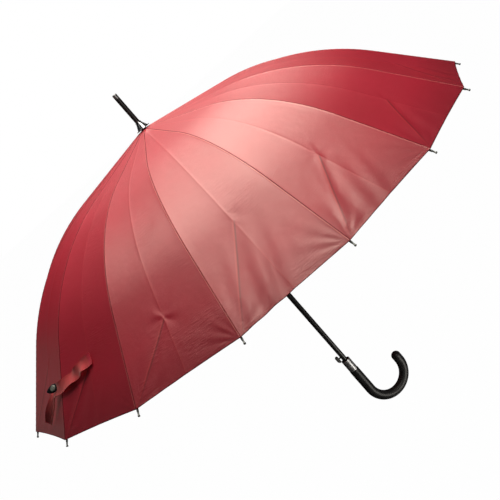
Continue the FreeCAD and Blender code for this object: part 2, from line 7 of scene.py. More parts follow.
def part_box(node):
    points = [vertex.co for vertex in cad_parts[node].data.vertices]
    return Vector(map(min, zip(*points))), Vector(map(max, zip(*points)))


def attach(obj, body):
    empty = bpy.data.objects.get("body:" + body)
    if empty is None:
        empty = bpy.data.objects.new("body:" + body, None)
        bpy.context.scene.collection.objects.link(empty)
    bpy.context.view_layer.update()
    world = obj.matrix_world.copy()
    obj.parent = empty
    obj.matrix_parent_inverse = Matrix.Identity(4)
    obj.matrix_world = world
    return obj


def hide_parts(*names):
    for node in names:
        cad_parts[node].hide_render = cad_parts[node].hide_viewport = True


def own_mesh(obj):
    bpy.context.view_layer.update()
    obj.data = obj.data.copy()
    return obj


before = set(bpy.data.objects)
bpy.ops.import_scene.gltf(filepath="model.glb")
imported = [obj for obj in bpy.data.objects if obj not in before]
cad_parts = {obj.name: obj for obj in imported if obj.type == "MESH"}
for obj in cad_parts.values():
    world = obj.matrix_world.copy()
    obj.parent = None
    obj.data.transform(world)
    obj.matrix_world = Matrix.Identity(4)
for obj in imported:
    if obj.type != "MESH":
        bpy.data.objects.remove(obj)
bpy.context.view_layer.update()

MM = 0.001

# ------------------------------------------------------------------ sizes
# The canopy's curve in a rib's plane: straight, one arc, straight. All lengths in metres.
RIBS = 16
STEP = 2 * math.pi / RIBS
APEX_Z = 0.666
SEAM = 0.615
SLOPE_1 = math.radians(10.5)
SLOPE_2 = math.radians(47.2)
ARC_START = 0.30 * SEAM
ARC_END = 0.75 * SEAM
ARC_RADIUS = (ARC_END - ARC_START) / (SLOPE_2 - SLOPE_1)
RIM_Z = 0.390
ROD_DEPTH = 3.4 * MM    # a rod's axis under the cloth's outer face
CLOTH = 0.5 * MM        # the modelled sheets' thickness
CAP_HOLE = 5.6 * MM     # the shaft passes here
CAP_END = 14 * MM       # the cloth that stays with the crown ends this far down the seams
CAP_LAP = 1.5 * MM      # and the cap laps over the strips by this much
CAP_LIFT = 0.15 * MM
SPLIT = 281 * MM        # the cloth changes from the inner to the outer ribs here
HEM_DIP = 1.5 * MM      # the hem is cut in a shallow curve between two tips
KEEP_INNER = 0.20       # how narrow a folded strip of cloth gets, on the inner ribs
KEEP_OUTER = 0.09       # and on the outer ribs

# ------------------------------------------------------------------ the canopy's curve


def slope_of(along):
    share = (along - ARC_START) / (ARC_END - ARC_START)
    return SLOPE_1 + (SLOPE_2 - SLOPE_1) * np.clip(share, 0, 1)


def radius_of(along):
    slope = slope_of(along)
    bent = ARC_RADIUS * (np.sin(slope) - math.sin(SLOPE_1))
    return (np.minimum(along, ARC_START) * math.cos(SLOPE_1) + bent
            + np.maximum(along - ARC_END, 0) * math.cos(SLOPE_2))


def height_of(along):
    slope = slope_of(along)
    bent = ARC_RADIUS * (math.cos(SLOPE_1) - np.cos(slope))
    return APEX_Z - (np.minimum(along, ARC_START) * math.sin(SLOPE_1) + bent
                     + np.maximum(along - ARC_END, 0) * math.sin(SLOPE_2))


def rib_angle(rib):
    """Rib 1 lies over +X, and the numbers run anticlockwise seen from the ferrule."""
    return (rib - 1) * STEP


def on_rib(rib, along, depth=0.0):
    """A point on a rib's line, depth under the cloth's outer face."""
    slope = float(slope_of(along))
    radius = float(radius_of(along)) - depth * math.sin(slope)
    height = float(height_of(along)) - depth * math.cos(slope)
    angle = rib_angle(rib)
    return Vector((radius * math.cos(angle), radius * math.sin(angle), height))


RIM_HALF = float(radius_of(SEAM)) * math.sin(STEP / 2)      # half a gore's width at the hem
BRANCH_TIP = (-0.94 * RIM_HALF, SEAM - 5 * MM)              # where a gore's branch fold ends


# ------------------------------------------------------------------ shader helpers

# Sockets of a Mix node that blends colours.
MIX_FACTOR = 0
MIX_FIRST = 6
MIX_SECOND = 7
MIX_RESULT = 2


class Nodes:
    """A short way to write a node tree."""

    def __init__(self, name):
        self.material = bpy.data.materials.new(name)
        self.material.use_nodes = True
        self.tree = self.material.node_tree
        self.tree.nodes.clear()
        self.output = self.add("ShaderNodeOutputMaterial")
        self.shader = self.add("ShaderNodeBsdfPrincipled")
        self.link(self.shader, "BSDF", self.output, "Surface")

    def add(self, kind, **settings):
        made = self.tree.nodes.new(kind)
        for name, value in settings.items():
            if name in made.inputs:
                made.inputs[name].default_value = value
            else:
                setattr(made, name, value)
        return made

    def link(self, source, out, target, into):
        self.tree.links.new(source.outputs[out], target.inputs[into])

    def feed(self, value, socket):
        """Link a socket to its source, or set its constant: three numbers are a colour."""
        if isinstance(value, bpy.types.NodeSocket):
            self.tree.links.new(value, socket)
        elif isinstance(value, tuple):
            socket.default_value = (*value, 1.0)
        else:
            socket.default_value = value

    def place(self):
        return self.add("ShaderNodeTexCoord"), "Object"

    def noise(self, scale, detail=4.0, roughness=0.5, stretch=None):
        texture = self.add("ShaderNodeTexNoise", Scale=scale, Detail=detail,
                           Roughness=roughness)
        source, out = self.place()
        if stretch:
            mapping = self.add("ShaderNodeMapping")
            mapping.inputs["Scale"].default_value = stretch
            self.link(source, out, mapping, "Vector")
            self.link(mapping, "Vector", texture, "Vector")
        else:
            self.link(source, out, texture, "Vector")
        return texture.outputs["Fac"]

    def attribute(self, name):
        return self.add("ShaderNodeAttribute", attribute_name=name).outputs["Fac"]

    def maths(self, operation, first, second=0.0):
        made = self.add("ShaderNodeMath", operation=operation)
        self.feed(first, made.inputs[0])
        self.feed(second, made.inputs[1])
        return made.outputs[0]

    def times(self, first, second):
        return self.maths("MULTIPLY", first, second)

    def away_from(self, value, level):
        """The distance of a value from a level, without its sign."""
        return self.maths("ABSOLUTE", self.maths("SUBTRACT", value, level))

    def ramp(self, source, low, high, from_min=0.0, from_max=1.0):
        """From low to high as the source goes from from_min to from_max, and held outside."""
        made = self.add("ShaderNodeMapRange")
        made.inputs["From Min"].default_value = from_min
        made.inputs["From Max"].default_value = from_max
        made.inputs["To Min"].default_value = low
        made.inputs["To Max"].default_value = high
        self.tree.links.new(source, made.inputs["Value"])
        return made.outputs["Result"]

    def beside(self, distance, strength, inner, outer):
        """strength up to inner millimetres from a line, fading to nothing at outer."""
        return self.ramp(distance, strength, 0.0, inner * MM, outer * MM)

    def stitches(self, distance, level, width, along):
        """A row of dashed stitches at a level from an edge."""
        away = self.away_from(distance, level)
        row = self.maths("SUBTRACT", 1.0, self.times(away, 1 / width))
        wave = self.maths("SINE", self.times(along, 2 * math.pi / STITCH))
        dashes = self.maths("GREATER_THAN", wave, -0.2)
        return self.times(self.maths("MAXIMUM", row, 0.0), dashes)

    def blend(self, factor, first, second):
        made = self.add("ShaderNodeMix", data_type="RGBA")
        self.feed(factor, made.inputs[MIX_FACTOR])
        self.feed(first, made.inputs[MIX_FIRST])
        self.feed(second, made.inputs[MIX_SECOND])
        return made.outputs[MIX_RESULT]

    def set(self, **values):
        for name, value in values.items():
            self.feed(value, self.shader.inputs[name.replace("_", " ")])

    def bump(self, height, strength, distance):
        made = self.add("ShaderNodeBump")
        made.inputs["Strength"].default_value = strength
        made.inputs["Distance"].default_value = distance
        self.tree.links.new(height, made.inputs["Height"])
        self.link(made, "Normal", self.shader, "Normal")


# ------------------------------------------------------------------ materials

STITCH = 2.6 * MM       # from one stitch to the next
THREAD = 0.5 * MM       # the weave's pitch

# Linear colours of the satin and of the lines on it.
SATIN = ((0.55, 0.001, 0.028), (0.61, 0.002, 0.036))
# painted shade, darkening the satin towards the hem
SATIN_PAINTED_SHADE = (0.06, 0.0002, 0.006)
# painted shade and painted highlight on the two sides of each seam's raised lap
SEAM_PAINTED_SHADE = (0.16, 0.001, 0.010)
SEAM_PAINTED_HIGHLIGHT = (0.90, 0.24, 0.22)
# painted shade and painted highlight of the folds
FOLD_PAINTED_SHADE = (0.22, 0.001, 0.012)
FOLD_PAINTED_HIGHLIGHT = (0.85, 0.08, 0.08)
HEM_DARK = (0.13, 0.001, 0.012)
HEM_THREAD = (0.30, 0.010, 0.022)


def seam_lines(m, red, across):
    """Painted shade and painted highlight of each seam's raised lap: a thin dark line on one
    side, a pale one on the other.
    """
    seam = m.attribute("seam_distance")
    line = m.beside(m.away_from(across, 1.0 * MM), 1.0, 0.4, 1.3)
    # painted shade: the dark line on one side of the seam
    red = m.blend(m.times(line, 0.75), red, SEAM_PAINTED_SHADE)
    other_side = m.maths("GREATER_THAN", across, 5 * MM)
    # painted highlight: the pale line on the other side of the seam
    pale = m.times(m.beside(seam, 0.7, 0.5, 1.7), other_side)
    return m.blend(pale, red, SEAM_PAINTED_HIGHLIGHT), line


def fold_lines(m, red):
    """Painted highlights: pale lines along the folds' ridges; and painted shade beside the
    branch fold.
    """
    fold = m.attribute("fold_distance")
    branch = m.attribute("branch_distance")
    running = m.attribute("branch_share")
    present = m.times(m.ramp(running, 0.0, 1.0, -0.02, 0.05),
                      m.ramp(running, 1.0, 0.2, 0.6, 1.0))
    branched = m.times(m.beside(m.maths("ABSOLUTE", branch), 0.8, 0.2, 2.2), present)
    shaded = m.times(m.beside(m.away_from(branch, 2.6 * MM), 0.7, 0.2, 2.0), present)
    # painted shade: the dark side of the branch fold
    red = m.blend(shaded, red, FOLD_PAINTED_SHADE)
    # painted highlight: pale lines along the ridges of the middle and branch folds
    ridge_highlight = m.maths("MAXIMUM", m.beside(fold, 0.35, 0.1, 1.2), branched)
    return m.blend(m.times(ridge_highlight, 0.5), red, FOLD_PAINTED_HIGHLIGHT)


def fine_creases(m, across, along):
    """Patches of fine creases that run from seam to seam."""
    lengthways = m.add("ShaderNodeCombineXYZ")
    m.feed(m.times(across, 28.0), lengthways.inputs["X"])
    m.feed(m.times(along, 260.0), lengthways.inputs["Y"])
    crease = m.add("ShaderNodeTexNoise", Scale=1.0, Detail=2.0)
    m.link(lengthways, "Vector", crease, "Vector")
    crease = m.away_from(crease.outputs["Fac"], 0.5)
    patch = m.ramp(m.noise(13.0, 2.0, 0.5), 0.0, 1.0, 0.50, 0.66)
    return m.times(m.ramp(crease, 1.0, 0.0, 0.0, 0.07), patch)


def satin_relief(m, across, along, stitches):
    """A plain weave with soft rumples, stitches and creases on it."""
    turn = 2 * math.pi / THREAD
    warp = m.maths("SINE", m.times(across, turn))
    weft = m.maths("SINE", m.times(along, turn))
    height = m.maths("ADD", m.times(m.times(warp, weft), 0.04), m.noise(70.0, 3.0, 0.55))
    height = m.maths("ADD", height, m.times(stitches, 0.5))
    return m.maths("ADD", height, m.times(fine_creases(m, across, along), 0.5))


def satin_cloth():
    """Red satin polyester: seams, folds and hem are read from distances kept on the mesh."""
    m = Nodes("satin_cloth")
    hem = m.attribute("hem_distance")
    along = m.attribute("along_seam")
    across = m.attribute("across_gore")
    cloud = m.noise(9.0, 5.0, 0.6)
    red = m.blend(m.ramp(cloud, 0.0, 1.0, 0.3, 0.7), *SATIN)
    # painted shade: the colour darkens over the last 75 mm before the hem
    red = m.blend(m.ramp(hem, 0.30, 0.0, 0.0, 75 * MM), red, SATIN_PAINTED_SHADE)
    red, line = seam_lines(m, red, across)
    red = fold_lines(m, red)
    edge = m.beside(hem, 1.0, 0.5, 1.5)
    red = m.blend(edge, red, HEM_DARK)
    stitches = m.stitches(hem, 6.5 * MM, 0.45 * MM, across)
    red = m.blend(m.times(stitches, 0.6), red, HEM_THREAD)
    m.bump(satin_relief(m, across, along, stitches), 0.45, 0.6 * MM)
    # the dark lines, the seams' painted shade and the hem's edge, are matt, and part metal, so
    # that they stay dark red under the lights
    matt = m.maths("MAXIMUM", m.times(line, 0.8), edge)
    m.set(Base_Color=red, Roughness=m.maths("MAXIMUM", m.ramp(cloud, 0.43, 0.47), matt),
          Metallic=m.times(matt, 0.9))
    m.set(IOR=1.85, Specular_IOR_Level=1.0, Specular_Tint=(1.0, 0.86, 0.78))
    return m.material


def scaled(tone, factor):
    return tuple(factor * value for value in tone)


def black_lacquer():
    """The shaft: gloss black, with faint streaks along it."""
    m = Nodes("black_lacquer")
    streak = m.noise(40.0, 4.0, 0.6, (6.0, 6.0, 0.6))
    tone = m.blend(m.ramp(streak, 0.0, 1.0, 0.35, 0.65), (0.026, 0.026, 0.027),
                   (0.040, 0.040, 0.042))
    m.set(Base_Color=tone, Roughness=m.ramp(streak, 0.20, 0.34), Specular_IOR_Level=0.5,
          Coat_Weight=0.35, Coat_Roughness=0.12)
    m.bump(m.noise(900.0, 2.0), 0.06, 0.2 * MM)
    return m.material


def black_steel():
    """The stretchers' channel: stove enamel with lighter worn patches."""
    m = Nodes("black_steel")
    rub = m.noise(180.0, 6.0, 0.7)
    tone = m.blend(m.ramp(rub, 0.0, 1.0, 0.58, 0.75), (0.016, 0.016, 0.018),
                   (0.10, 0.10, 0.105))
    m.set(Base_Color=tone, Roughness=m.ramp(rub, 0.30, 0.46), Metallic=0.4)
    return m.material


def glass_fibre():
    """The rods: black resin with a clear coat."""
    m = Nodes("glass_fibre")
    strand = m.noise(260.0, 3.0, 0.6)
    tone = m.blend(m.ramp(strand, 0.0, 1.0, 0.4, 0.7), (0.012, 0.012, 0.014),
                   (0.035, 0.034, 0.036))
    m.set(Base_Color=tone, Roughness=m.ramp(strand, 0.28, 0.42), Coat_Weight=0.2,
          Coat_Roughness=0.2)
    m.bump(strand, 0.10, 0.2 * MM)
    return m.material


def moulded_black(name, low, high, tone):
    """Black plastic, as rough as low to high."""
    m = Nodes(name)
    grain = m.noise(1400.0, 3.0, 0.6)
    cloud = m.noise(45.0, 3.0, 0.5)
    colour = m.blend(m.ramp(cloud, 0.0, 1.0, 0.35, 0.7), tone, scaled(tone, 1.7))
    m.set(Base_Color=colour, Roughness=m.ramp(cloud, low, high), Specular_IOR_Level=0.45)
    m.bump(grain, 0.04, 0.08 * MM)
    return m.material


def gunmetal():
    """The collar: turned, plated and polished, with a fine lathe mark."""
    m = Nodes("gunmetal")
    turned = m.noise(60.0, 3.0, 0.6, (1.0, 1.0, 60.0))
    cloud = m.noise(30.0, 3.0)
    tone = m.blend(m.ramp(cloud, 0.0, 1.0, 0.3, 0.7), (0.62, 0.62, 0.64), (0.72, 0.72, 0.73))
    m.set(Base_Color=tone, Metallic=0.75, Roughness=m.ramp(turned, 0.30, 0.42))
    m.bump(turned, 0.05, 0.1 * MM)
    return m.material


def by_height(name, level, below, above, roughness, metallic):
    """Two finishes on one turned piece, parted at a height along the shaft."""
    m = Nodes(name)
    source, out = m.place()
    split = m.add("ShaderNodeSeparateXYZ")
    m.link(source, out, split, "Vector")
    top = m.maths("GREATER_THAN", split.outputs["Z"], level)
    cloud = m.noise(120.0, 4.0, 0.6)
    worn_below = m.blend(m.ramp(cloud, 0.0, 0.5, 0.3, 0.8), below, scaled(below, 1.5))
    worn_above = m.blend(m.ramp(cloud, 0.0, 0.3, 0.3, 0.8), above, scaled(above, 0.8))
    m.set(Base_Color=m.blend(top, worn_below, worn_above),
          Roughness=m.ramp(top, *roughness), Metallic=m.ramp(top, *metallic))
    m.bump(cloud, 0.05, 0.1 * MM)
    return m.material


def bright_metal(name, tone, low=0.18, high=0.32, metallic=1.0):
    """Plated metal, dulled in places, as rough as low to high."""
    m = Nodes(name)
    cloud = m.noise(300.0, 4.0, 0.6)
    dulled = m.blend(m.ramp(cloud, 0.0, 0.6, 0.3, 0.8), tone, scaled(tone, 0.7))
    m.set(Base_Color=dulled, Metallic=metallic, Roughness=m.ramp(cloud, low, high))
    return m.material


# painted light: the strap is the canopy's own cloth, made a lighter red than SATIN
WEBBING_PAINTED_LIGHTER = ((0.74, 0.060, 0.070), (0.84, 0.085, 0.095))
SEWN_END = (0.75, 0.008, 0.060)
STRAP_THREAD = (0.25, 0.010, 0.02)


def webbing():
    """The closing strap: two layers of the canopy's cloth, stitched near both edges."""
    m = Nodes("strap_cloth")
    edge = m.attribute("edge_distance")
    along = m.attribute("along_strap")
    cloud = m.noise(60.0, 4.0, 0.6)
    # painted light: a lighter red than the canopy's satin
    red = m.blend(m.ramp(cloud, 0.0, 1.0, 0.3, 0.7), *WEBBING_PAINTED_LIGHTER)
    # the sewn end is a block of brighter crimson stitching
    red = m.blend(m.beside(along, 0.8, 5, 9), red, SEWN_END)
    stitches = m.stitches(edge, 2.2 * MM, 0.5 * MM, along)
    red = m.blend(m.times(stitches, 0.6), red, STRAP_THREAD)
    m.set(Base_Color=red, Roughness=m.ramp(cloud, 0.45, 0.6), Metallic=0.2)
    m.set(Sheen_Weight=0.4, Sheen_Roughness=0.5, Sheen_Tint=(1.0, 0.6, 0.55))
    m.bump(m.maths("ADD", m.noise(700.0, 3.0), stitches), 0.3, 0.3 * MM)
    return m.material


# ------------------------------------------------------------------ camera, floor, lights

def aim(location, x_axis, y_axis, z_axis):
    columns = Matrix((x_axis, y_axis, z_axis)).transposed()
    return Matrix.Translation(location) @ columns.to_4x4()


def looking_at(location, target):
    back = (location - target).normalized()
    across = Vector((0, 0, 1)).cross(back).normalized()
    return aim(location, across, back.cross(across), back)


# The camera looks past the rim's centre. It was fitted to the canopy's outline and the crook.
AZIMUTH = math.radians(-12.68)
ELEVATION = math.radians(12.97)
ROLL = math.radians(-41.14)
DISTANCE = 1.7576
SIDEWAYS = 23.4 * MM
UPWARDS = -25.6 * MM
SENSOR = 36             # millimetres, as the lens
LENS = 64.95
SIGHT_END = 60

BACK = Vector((math.sin(AZIMUTH) * math.cos(ELEVATION),
               -math.cos(AZIMUTH) * math.cos(ELEVATION), math.sin(ELEVATION)))
LEVEL = Vector((math.cos(AZIMUTH), math.sin(AZIMUTH), 0))
OVER = BACK.cross(LEVEL)
CAMERA_X = math.cos(ROLL) * LEVEL + math.sin(ROLL) * OVER
CAMERA_Y = -math.sin(ROLL) * LEVEL + math.cos(ROLL) * OVER
RIM_CENTRE = Vector((0, 0, RIM_Z))


def make_camera():
    data = bpy.data.cameras.new("camera")
    data.sensor_width = SENSOR
    data.lens = LENS
    data.clip_end = SIGHT_END
    camera = bpy.data.objects.new("camera", data)
    bpy.context.scene.collection.objects.link(camera)
    place = RIM_CENTRE + DISTANCE * BACK + SIDEWAYS * CAMERA_X + UPWARDS * CAMERA_Y
    camera.matrix_world = aim(place, CAMERA_X, CAMERA_Y, BACK)
    bpy.context.scene.camera = camera


FLOOR_HALF = 30.0
FLOOR_LEVEL = -0.90
FLOOR_SEEN = 0.9        # how much of the glow the camera sees
FLOOR_GLOW = 1.1


def make_floor():
    """A wide floor: almost evenly white to the camera, but it reflects little light."""
    mesh = bpy.data.meshes.new("floor")
    corners = [(-1, -1), (1, -1), (1, 1), (-1, 1)]
    verts = [(x * FLOOR_HALF, y * FLOOR_HALF, FLOOR_LEVEL) for x, y in corners]
    mesh.from_pydata(verts, [], [(0, 1, 2, 3)])
    floor = bpy.data.objects.new("floor", mesh)
    bpy.context.scene.collection.objects.link(floor)
    m = Nodes("floor")
    m.set(Base_Color=(0.06, 0.06, 0.06), Roughness=0.9)
    glow = m.add("ShaderNodeEmission", Strength=FLOOR_GLOW)
    mix = m.add("ShaderNodeMixShader")
    path = m.add("ShaderNodeLightPath")
    m.feed(m.times(path.outputs["Is Camera Ray"], FLOOR_SEEN), mix.inputs[0])
    m.feed(m.shader.outputs["BSDF"], mix.inputs[1])
    m.feed(glow.outputs["Emission"], mix.inputs[2])
    m.feed(mix.outputs["Shader"], m.output.inputs["Surface"])
    mesh.materials.append(m.material)


WORLD_LOW = 0.01
WORLD_HIGH = 0.03
WORLD_COLOUR = (0.88, 0.92, 1.0, 1)


def make_world():
    """White to the camera; as a light it is nearly dark, and a little less so overhead."""
    world = bpy.data.worlds.new("studio")
    bpy.context.scene.world = world
    world.use_nodes = True
    tree = world.node_tree
    tree.nodes.clear()
    output = tree.nodes.new("ShaderNodeOutputWorld")
    mix = tree.nodes.new("ShaderNodeMixShader")
    path = tree.nodes.new("ShaderNodeLightPath")
    lit = tree.nodes.new("ShaderNodeBackground")
    seen = tree.nodes.new("ShaderNodeBackground")
    lit.inputs["Color"].default_value = WORLD_COLOUR
    place = tree.nodes.new("ShaderNodeTexCoord")
    split = tree.nodes.new("ShaderNodeSeparateXYZ")
    rise = tree.nodes.new("ShaderNodeMapRange")
    rise.interpolation_type = "SMOOTHSTEP"
    rise.inputs["From Min"].default_value = 0.2
    rise.inputs["From Max"].default_value = 1.0
    rise.inputs["To Min"].default_value = WORLD_LOW
    rise.inputs["To Max"].default_value = WORLD_HIGH
    tree.links.new(place.outputs["Generated"], split.inputs[0])
    tree.links.new(split.outputs["Z"], rise.inputs["Value"])
    tree.links.new(rise.outputs["Result"], lit.inputs["Strength"])
    seen.inputs["Color"].default_value = (1, 1, 1, 1)
    seen.inputs["Strength"].default_value = 1.0
    tree.links.new(path.outputs["Is Camera Ray"], mix.inputs[0])
    tree.links.new(lit.outputs[0], mix.inputs[1])
    tree.links.new(seen.outputs[0], mix.inputs[2])
    tree.links.new(mix.outputs[0], output.inputs["Surface"])


def towards(turn, rise):
    """A direction: turn degrees anticlockwise from the camera's, and rise above the horizon."""
    angle = math.atan2(BACK.y, BACK.x) + math.radians(turn)
    flat = math.cos(math.radians(rise))
    up = math.sin(math.radians(rise))
    return Vector((flat * math.cos(angle), flat * math.sin(angle), up))


LAMP_COLOUR = (1.0, 0.96, 0.88)


def make_light(name, direction, distance, size, power, target=(0, 0, 0.45)):
    """A round soft lamp: distance and size in metres, power in watts."""
    data = bpy.data.lights.new(name, "AREA")
    data.shape = "DISK"
    data.size = size
    data.energy = power
    data.color = LAMP_COLOUR
    light = bpy.data.objects.new(name, data)
    bpy.context.scene.collection.objects.link(light)
    target = Vector(target)
    light.matrix_world = looking_at(target + distance * direction, target)


# ------------------------------------------------------------------ canopy

# Columns of a half gore, as shares of its width: close together at the seam and the middle fold.
BESIDE_SEAM = (0, 0.005, 0.011, 0.018, 0.028, 0.045, 0.070)
BESIDE_FOLD = (0.475, 0.487, 0.495)
OPEN_CLOTH = np.linspace(0.090, 0.455, 20)
ROWS_INNER = 40
ROWS_OUTER = 88


def across_shares():
    """Where the columns of a gore lie, from one seam to the next, without the last."""
    half = np.concatenate([BESIDE_SEAM, OPEN_CLOTH, BESIDE_FOLD])
    return np.concatenate([half, [0.5], 1 - half[:0:-1]])


SHARES = across_shares()
CELLS_ACROSS = len(SHARES)


def along_rows():
    inner = np.linspace(CAP_END, SPLIT, ROWS_INNER + 1)
    outer = np.linspace(SPLIT, SEAM, ROWS_OUTER + 1)
    return np.concatenate([inner, outer[1:]])


def ridge(distance, width):
    """A rounded fold line, 1 on the line and gone a few widths away."""
    return 1 / np.cosh(distance / width)


def from_line(across, along, start, end):
    """Signed distance from a straight fold, and the share of it passed: 1 is its far end."""
    step = np.array(end) - np.array(start)
    length = np.linalg.norm(step)
    share = ((across - start[0]) * step[0] + (along - start[1]) * step[1]) / length ** 2
    near = np.clip(share, 0, 1)
    aside = across - start[0] - near * step[0]
    ahead = along - start[1] - near * step[1]
    side = np.sign(aside * step[1] - ahead * step[0])
    return side * np.hypot(aside, ahead), share


def beside_line(across, along, start, end):
    """Signed distance from the whole line through a fold, and the share of the fold there."""
    step = np.array(end) - np.array(start)
    length = np.linalg.norm(step)
    aside = across - start[0]
    ahead = along - start[1]
    away = (aside * step[1] - ahead * step[0]) / length
    return away, (aside * step[0] + ahead * step[1]) / length ** 2


class Gore:
    """The marks that packing has left on one gore: a middle fold that forks towards one tip."""

    def __init__(self, number):
        random = np.random.default_rng(100 + number)
        self.fork = SEAM * random.uniform(0.75, 0.84)
        self.pucker = 0.5
        self.pleats = random.uniform(0.15, 0.45)
        self.fan = random.uniform(0.3, 0.6)
        self.phase = random.uniform(0, 2 * math.pi)
        self.turn = random.uniform(-0.4, 0.4)
        for name, value in MARKS.get(number, {}).items():
            setattr(self, name, value)


# What stands out on single gores; the others take their own random marks.
MARKS = {
    9: {"fork": 0.80 * SEAM, "pleats": 0.1, "pucker": 0.2, "fan": 0.2},
    10: {"fork": 0.83 * SEAM, "pleats": 0.15, "pucker": 0.7, "fan": 0.3},
    11: {"fork": 0.84 * SEAM, "pleats": 0.25, "pucker": 1.6, "fan": 1.0},
    12: {"fork": 0.75 * SEAM, "pleats": 1.0, "pucker": 0.3, "fan": 1.0},
    13: {"fork": 0.78 * SEAM, "pleats": 0.35, "pucker": 0.8, "fan": 0.9},
    14: {"fork": 0.83 * SEAM, "pleats": 0.2, "pucker": 0.4, "fan": 0.4},
}


def middle_fold(across, started, past):
    """The fold down the middle: a sharp line on a soft ridge, weaker past the fork."""
    middle = 0.30 * ridge(across, 1.3 * MM) + 0.45 * ridge(across, 11 * MM)
    return MM * middle * started * (1 - 0.5 * past)


def branch_fold(gore, across, along):
    """The fold that leaves the middle one for the lower tip, and the hollow beside it."""
    away, share = from_line(across, along, (0, gore.fork), BRANCH_TIP)
    run = np.clip(1.15 - share, 0, 1) ** 0.5
    return MM * (0.55 * ridge(away, 2.6 * MM) - 0.7 * ridge(away - 9 * MM, 8 * MM)) * run


def fork_pucker(gore, across, along):
    """The dimples where the two folds part."""
    around = np.hypot(across, along - gore.fork)
    angle = np.arctan2(across, along - gore.fork)
    dimple = np.cos(3 * angle + gore.phase) + 0.6 * np.cos(5 * angle - gore.phase)
    return 0.75 * MM * gore.pucker * dimple * (around / (9 * MM)) * np.exp(-around / (9 * MM))


def hem_pleats(gore, across, past):
    """Soft pleats between the two folds, deepest a little way before the hem."""
    spread = (across + RIM_HALF * 0.5 * past) / (0.5 * RIM_HALF)
    shape = np.sin(2.6 * math.pi * spread + 2.2 * gore.turn)
    shape = shape + 0.4 * np.sin(5.5 * spread + gore.phase)
    depth = 3.0 * MM * gore.pleats * shape * past ** 1.5 * (1 - 0.75 * past ** 5)
    return depth * np.exp(-(spread / 1.1) ** 4)


def tip_pulls(gore, side, across, along):
    """Short pulls that fan out from the tip on one side."""
    reach = np.hypot(across - side * RIM_HALF, along - SEAM) + 1e-6
    turn = np.arctan2(side * (side * RIM_HALF - across), SEAM - along + 1e-6)
    wave = np.sin(15 * turn + gore.phase + side) * np.clip(reach / (16 * MM), 0, 1)
    return 0.8 * MM * gore.fan * wave * np.exp(-reach / (34 * MM))


def folds(gore, across, along, chord):
    """How far the cloth of one gore stands out of its plain surface, in metres.

    across runs from the gore's middle, along from the apex; chord is the gore's width there."""
    half = chord / 2
    started = np.clip(along / (90 * MM), 0, 1)
    past = np.clip((along - gore.fork) / (SEAM - gore.fork), 0, 1)
    out = middle_fold(across, started, past)
    out += branch_fold(gore, across, along)
    out -= fork_pucker(gore, across, along)
    out += hem_pleats(gore, across, past)
    for side in (-1, 1):
        out += tip_pulls(gore, side, across, along)
    # broad shallow unevenness of the whole panel
    drift = np.sin(across / (70 * MM) + gore.phase) * np.cos(along / (60 * MM) + 3 * gore.turn)
    out += 0.35 * MM * drift * started
    # under tension the cloth sinks a little between the ribs
    share = np.clip(across / half, -1, 1)
    out -= 0.006 * chord * (1 - share ** 2)
    # and everything dies away at the seams
    edge = half - np.abs(across)
    return out * np.clip(edge / (0.10 * half + 3 * MM), 0, 1)


def plain_point(gore, share, along):
    """A point of the plain surface: straight across between the ribs."""
    first, last = rib_angle(gore), rib_angle(gore + 1)
    radius = radius_of(along)
    x = radius * ((1 - share) * math.cos(first) + share * math.cos(last))
    y = radius * ((1 - share) * math.sin(first) + share * math.sin(last))
    return np.stack([x, y, height_of(along)], axis=-1)


def plain_normal(gore, along):
    middle = (rib_angle(gore) + rib_angle(gore + 1)) / 2
    slope = np.arctan(np.tan(slope_of(along)) / math.cos(STEP / 2))
    return np.stack([np.sin(slope) * math.cos(middle), np.sin(slope) * math.sin(middle),
                     np.cos(slope)], axis=-1)


def seam_ridge(number, seam, along):
    """The seam's turned-in cloth, with its small pucker."""
    pucker = 0.10 * np.sin(along / (11 * MM) * 2 * math.pi + number)
    return MM * (0.36 + pucker) * np.exp(-(seam / (1.5 * MM)) ** 2)


def ring_normals(points):
    down = np.gradient(points, axis=1)
    around = np.roll(points, -1, axis=0) - np.roll(points, 1, axis=0)
    normals = np.cross(down, around)
    return normals / np.linalg.norm(normals, axis=2, keepdims=True)


def canopy_surface():
    """The outer face as rings of points, with its normals and the distances for the shader."""
    share, row = np.meshgrid(SHARES, along_rows(), indexing="ij")
    dip = HEM_DIP * 4 * share * (1 - share)
    along = row - dip * np.clip((row - SPLIT) / (SEAM - SPLIT), 0, 1)
    chord = 2 * radius_of(along) * math.sin(STEP / 2)
    seam = np.minimum(share, 1 - share) * chord
    across = (share - 0.5) * chord
    rings = []
    branches = []
    for number in range(1, RIBS + 1):
        gore = Gore(number)
        lift = folds(gore, across, along, chord) + seam_ridge(number, seam, along)
        rings.append(plain_point(number, share, along)
                     + lift[..., None] * plain_normal(number, along))
        branches.append(beside_line(across, along, (0, gore.fork), BRANCH_TIP))
    points = np.concatenate(rings)
    tiled = {"seam_distance": seam, "hem_distance": SEAM - dip - along, "along_seam": along,
             "across_gore": share * chord, "fold_distance": np.abs(share - 0.5) * chord}
    distances = {name: np.concatenate([grid] * RIBS) for name, grid in tiled.items()}
    distances["branch_distance"] = np.concatenate([away for away, _ in branches])
    distances["branch_share"] = np.concatenate([run for _, run in branches])
    return points, ring_normals(points), distances


def grid_faces(rows, columns, start=0, flip=False):
    corner = np.arange(rows * columns).reshape(rows, columns)[:-1, :-1].reshape(-1) + start
    faces = np.stack([corner, corner + 1, corner + columns + 1, corner + columns], axis=1)
    return faces[:, ::-1] if flip else faces


def border_of(count_i, count_j):
    """The indices round the edge of a grid, in order."""
    loop = [(i, 0) for i in range(count_i)]
    loop += [(count_i - 1, j) for j in range(1, count_j)]
    loop += [(i, count_j - 1) for i in range(count_i - 2, -1, -1)]
    loop += [(0, j) for j in range(count_j - 2, 0, -1)]
    return np.array([i * count_j + j for i, j in loop])


def put(name, mesh, material):
    """Give a mesh its material and put it in the scene."""
    mesh.materials.append(material)
    made = bpy.data.objects.new(name, mesh)
    bpy.context.scene.collection.objects.link(made)
    return made


